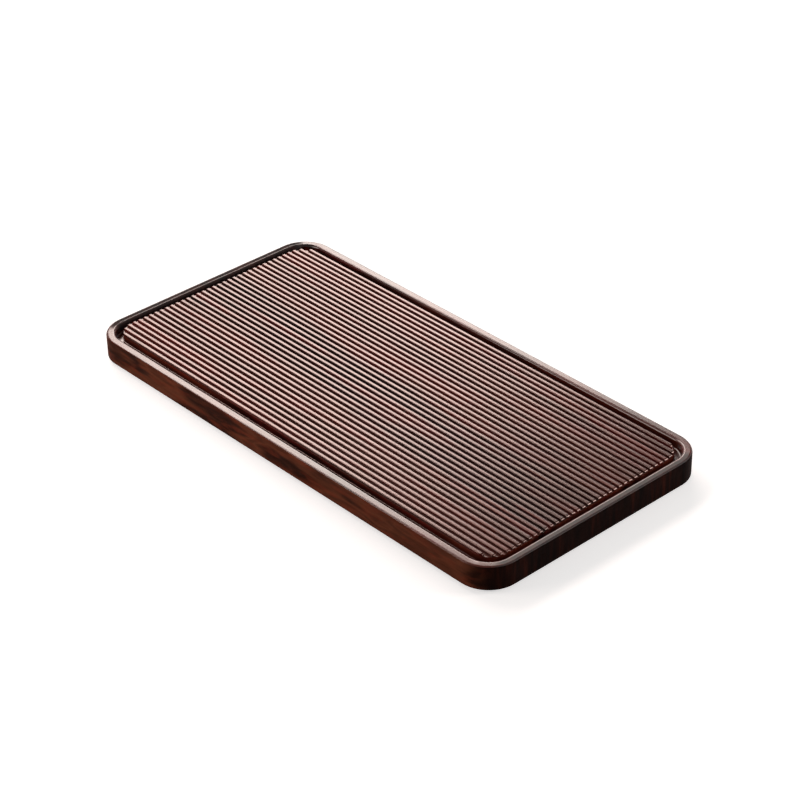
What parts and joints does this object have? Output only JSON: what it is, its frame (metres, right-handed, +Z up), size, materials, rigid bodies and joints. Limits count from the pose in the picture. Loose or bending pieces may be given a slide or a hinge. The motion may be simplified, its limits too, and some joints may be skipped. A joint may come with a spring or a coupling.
{
  "type": "gongfu tea tray",
  "caption": "Rectangular hardwood tea tray with rounded corners, a rim and gutter round a lift-out ribbed deck, and a hidden drain.",
  "frame": {"origin": "centre of the tray's outline, on the surface that the feet stand on", "axes": "+X along the tray's length and its ribs, +Y towards the back, where the drain hose leaves, +Z up"},
  "size_m": [0.6, 0.3, 0.0316],
  "materials": {
    "tray_wood": "oiled dark rosewood, satin",
    "deck_wood": "oiled dark rosewood, satin",
    "batten_wood": "oiled rosewood, satin",
    "steel": "brushed",
    "brass": "turned",
    "rubber": "matte",
    "silicone": "matte"
  },
  "bodies": {
    "tray": {"tray_body": "tray_wood", "anti_warp_bar_left": "steel", "anti_warp_bar_right": "steel", "bar_screws": "steel", "foot_front_left": "rubber", "foot_front_right": "rubber", "foot_back_left": "rubber", "foot_back_right": "rubber", "foot_screws": "steel", "drain_flange": "brass", "drain_gasket": "silicone", "drain_elbow": "brass"},
    "deck": {"ribbed_deck": "deck_wood", "deck_batten_left": "batten_wood", "deck_batten_middle": "batten_wood", "deck_batten_right": "batten_wood", "batten_screws": "steel", "deck_pad_front_left": "silicone", "deck_pad_front_middle": "silicone", "deck_pad_front_right": "silicone", "deck_pad_back_left": "silicone", "deck_pad_back_middle": "silicone", "deck_pad_back_right": "silicone"},
    "strainer_disc": {"strainer": "steel"}
  },
  "joints": [
    {"name": "deck_lift", "type": "slide", "parent": "tray", "child": "deck", "axis": [0, 0, 1], "range_m": [0, 0.05]},
    {"name": "strainer_lift", "type": "slide", "parent": "tray", "child": "strainer_disc", "axis": [0, 0, 1], "range_m": [0, 0.0015]}
  ]
}
